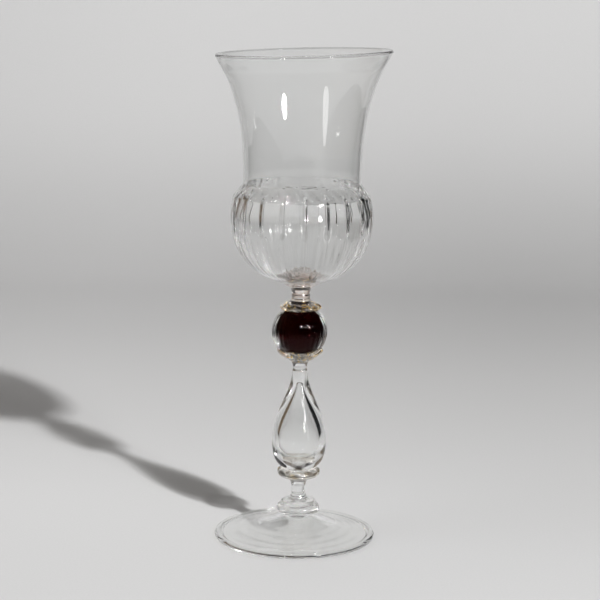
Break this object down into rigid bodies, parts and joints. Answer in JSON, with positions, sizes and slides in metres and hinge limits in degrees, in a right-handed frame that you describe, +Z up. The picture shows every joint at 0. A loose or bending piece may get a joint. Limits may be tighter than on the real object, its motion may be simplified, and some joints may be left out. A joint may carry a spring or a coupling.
{
  "type": "goblet",
  "caption": "Stemmed blown-glass drinking goblet: flared bell bowl in a ribbed cup, on a stem of spools, collars, a garnet ball and a hollow teardrop, with a wide round foot.",
  "frame": {"origin": "middle of the foot at the table", "axes": "+Z up along the stem's axis, towards the rim of the bowl"},
  "size_m": [0.0888, 0.0888, 0.2503],
  "materials": {
    "clear_glass": "fire-polished clear soda glass",
    "gold_tinted_glass": "clear glass with flecks of gold leaf",
    "garnet_glass": "very dark red glass, polished"
  },
  "bodies": {
    "root": {"foot": "clear_glass", "foot_button": "clear_glass", "lower_spool": "clear_glass", "drop_collar": "gold_tinted_glass", "teardrop": "clear_glass", "neck_spool": "clear_glass", "ball_lower_collar": "gold_tinted_glass", "ball_core": "garnet_glass", "ball_casing": "clear_glass", "ball_upper_collar": "gold_tinted_glass", "upper_spool": "clear_glass", "ribbed_cup": "clear_glass", "bowl": "clear_glass"}
  },
  "joints": []
}
